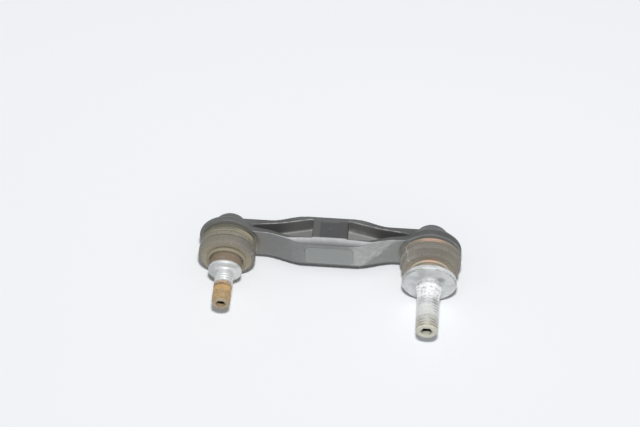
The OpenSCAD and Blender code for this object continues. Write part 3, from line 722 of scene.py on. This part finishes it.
def double_turn(end, size):
    """Two turns of round wire side by side: the middle of the wire keeps one radius and steps smoothly from
    the first turn's distance to the second's over a short arc, and a circle round it lies across the wire."""
    turn = np.linspace(STEP_AT + STEP_OVER / 2, STEP_AT + 4 * math.pi - STEP_OVER / 2, RING_STEPS)[:, None]
    share = np.clip((turn - STEP_AT - 2 * math.pi) / STEP_OVER + 0.5, 0, 1)
    eased = share * share * (3 - 2 * share)
    middle = size["back"] + WIRE + (size["front"] - size["back"] - 2 * WIRE) * eased
    round_wire = np.linspace(0, 2 * math.pi, WIRE_STEPS, endpoint=False)
    return about_stud(end, size["radius"] + WIRE * np.cos(round_wire) + 0 * turn,
                      middle - WIRE * np.sin(round_wire), turn + 0 * round_wire)


def spring_steel(name, end, bloom, middle, sides, pits, shade):
    """Spring steel gone to rust: a bloom that reaches so far from the middle of the front, duller sides and
    dark pits, rough and almost without shine. Painted shade may darken the turn next to the housing and the
    far sides."""
    f = Finish(name)
    along, _, aside, _ = stud_place(f, end)
    patch = f.noise(3, 4, (1, 3, 1))
    grain = f.noise(0.5, 4)
    off_middle = f.plus(f.away(aside), f.times(f.minus(patch, 0.5), 8.0))
    colour = f.mix(f.step(off_middle, bloom * 0.25, bloom), middle, sides)
    colour = f.mix(f.times(f.step(grain, 0.55, 0.75), 0.5), colour, pits)
    # Painted shade on the turn next to the housing and on the far sides.
    shaded_turns = f.most(f.times(f.fall(along, 6.0, 6.5), f.fall(aside, 2.0, 8.0)),
                   f.plus(f.fall(aside, -12.0, -6.0), f.step(aside, 12.8, 14.4)))
    colour = f.mix(f.times(shaded_turns, shade), colour, (0.150, 0.142, 0.118))
    f.set(Base_Color=colour, Metallic=0.1, Roughness=f.between(grain, 0.6, 0.85))
    f.relief(grain, 0.06)
    return f


RING_LOOKS = {
    "m10_upper": dict(bloom=12.0, middle=(0.285, 0.264, 0.195), sides=(0.370, 0.336, 0.230),
                      pits=(0.170, 0.150, 0.105), shade=0.75),
    "m10_lower": dict(bloom=12.0, middle=(0.290, 0.260, 0.185), sides=(0.290, 0.262, 0.190),
                      pits=(0.180, 0.155, 0.110), shade=0.0),
    "m12_upper": dict(bloom=8.5, middle=(0.52, 0.36, 0.27), sides=(0.318, 0.274, 0.212),
                      pits=(0.310, 0.215, 0.150), shade=0.0),
    "m12_lower": dict(bloom=5.0, middle=(0.66, 0.46, 0.34), sides=(0.520, 0.470, 0.370),
                      pits=(0.400, 0.290, 0.200), shade=0.0),
}
for end in UPPER_RINGS:
    upper_ring = skinned(end + "_double_ring", double_turn(end, UPPER_RINGS[end]))
    dress(upper_ring, spring_steel(end + "_upper_ring", end, **RING_LOOKS[end + "_upper"]))
    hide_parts(end + "_upper_clamp_ring")
    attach(upper_ring, "link")
    dress(frame["nodes"][end + "_lower_clamp_ring"],
          spring_steel(end + "_lower_ring", end, **RING_LOOKS[end + "_lower"]))


# Stage: a pale matt table that runs out of sight, a little lighter towards the back.
# One high front lamp of even strength lights it, in a room that is dim for everything but reflections.

BACKDROP = (0.905, 0.921, 0.939)
NEAR_SHADE = 0.96
FAR_SHADE = 1.05
SHADE_REACH = 220.0
TABLE_HALF = 3.0
table_mesh = bpy.data.meshes.new("table")
corners = [(-TABLE_HALF, -TABLE_HALF, 0), (TABLE_HALF, -TABLE_HALF, 0),
           (TABLE_HALF, TABLE_HALF, 0), (-TABLE_HALF, TABLE_HALF, 0)]
table_mesh.from_pydata(corners, [], [(0, 1, 2, 3)])
table = bpy.data.objects.new("table", table_mesh)
bpy.context.scene.collection.objects.link(table)
table_finish = Finish("pale_table")
near_table = tuple(NEAR_SHADE * c for c in BACKDROP)
far_table = tuple(FAR_SHADE * c for c in BACKDROP)
to_back = table_finish.step(table_finish.y, -SHADE_REACH, SHADE_REACH)
table_tint = table_finish.mix(to_back, near_table, far_table)
table_finish.set(Base_Color=table_tint, Roughness=0.9, Specular_IOR_Level=0.1)
dress(table, table_finish)

ROOM_LIGHT = 0.30
world = bpy.data.worlds.new("even_room")
world.use_nodes = True
bpy.context.scene.world = world
room = world.node_tree
background = room.nodes["Background"]
rays = room.nodes.new("ShaderNodeLightPath")
seen = room.nodes.new("ShaderNodeMath")
seen.operation = "MAXIMUM"
room.links.new(rays.outputs["Is Camera Ray"], seen.inputs[0])
room.links.new(rays.outputs["Is Glossy Ray"], seen.inputs[1])
through = room.nodes.new("ShaderNodeMath")
through.operation = "MAXIMUM"
room.links.new(seen.outputs[0], through.inputs[0])
room.links.new(rays.outputs["Is Transmission Ray"], through.inputs[1])
level = room.nodes.new("ShaderNodeMapRange")
level.inputs["To Min"].default_value = ROOM_LIGHT
level.inputs["To Max"].default_value = 1.0
room.links.new(through.outputs[0], level.inputs["Value"])
room.links.new(level.outputs[0], background.inputs["Strength"])
background.inputs["Color"].default_value = (*BACKDROP, 1)

KEY_PLACE = (0.042, -0.395, 0.887)
KEY_STRENGTH = 2.45
KEY_RADIUS = 0.042
key = bpy.data.objects.new("key_light", bpy.data.lights.new("key_light", "POINT"))
key.location = KEY_PLACE
key.data.energy = KEY_STRENGTH * 4 * math.pi
key.data.shadow_soft_size = KEY_RADIUS
key.data.use_nodes = True
lamp = key.data.node_tree
even = lamp.nodes.new("ShaderNodeLightFalloff")
even.inputs["Strength"].default_value = 1.0
lamp.links.new(even.outputs["Constant"], lamp.nodes["Emission"].inputs["Strength"])
bpy.context.scene.collection.objects.link(key)


# Camera: a long lens, high in front of the part and a little to its right, as the photograph was taken.
# It is placed by the pixel on which the middle between the two domes falls.

PHOTO_WIDTH = 640
PHOTO_HEIGHT = 427
FOCAL_PIXELS = 2000
SENSOR_WIDTH = 36
DISTANCE = 1.090
ELEVATION = math.radians(52.97)
AZIMUTH = math.radians(4.78)
ROLL = math.radians(-0.37)
TARGET_PIXEL = (330.44, 237.81)
DOME_OFFSET = 2.2
target = Vector((ball_centre["m10"] + ball_centre["m12"]) / 2) + Vector((0, DOME_OFFSET * MM, 0))
back = Vector((math.sin(AZIMUTH) * math.cos(ELEVATION),
               -math.cos(AZIMUTH) * math.cos(ELEVATION),
               math.sin(ELEVATION)))
level_right = Vector((math.cos(AZIMUTH), math.sin(AZIMUTH), 0))
level_up = back.cross(level_right)
right = math.cos(ROLL) * level_right + math.sin(ROLL) * level_up
up = -math.sin(ROLL) * level_right + math.cos(ROLL) * level_up
aside = (TARGET_PIXEL[0] - PHOTO_WIDTH / 2) / FOCAL_PIXELS
above = (PHOTO_HEIGHT / 2 - TARGET_PIXEL[1]) / FOCAL_PIXELS
place = target + DISTANCE * (back - aside * right - above * up)
camera = bpy.data.objects.new("camera", bpy.data.cameras.new("camera"))
camera.data.sensor_fit = "HORIZONTAL"
camera.data.sensor_width = SENSOR_WIDTH
camera.data.lens = FOCAL_PIXELS / PHOTO_WIDTH * SENSOR_WIDTH
camera.matrix_world = Matrix((
    (right.x, up.x, back.x, place.x),
    (right.y, up.y, back.y, place.y),
    (right.z, up.z, back.z, place.z),
    (0, 0, 0, 1)))
bpy.context.scene.collection.objects.link(camera)
bpy.context.scene.camera = camera
bpy.context.scene.view_settings.view_transform = "Standard"
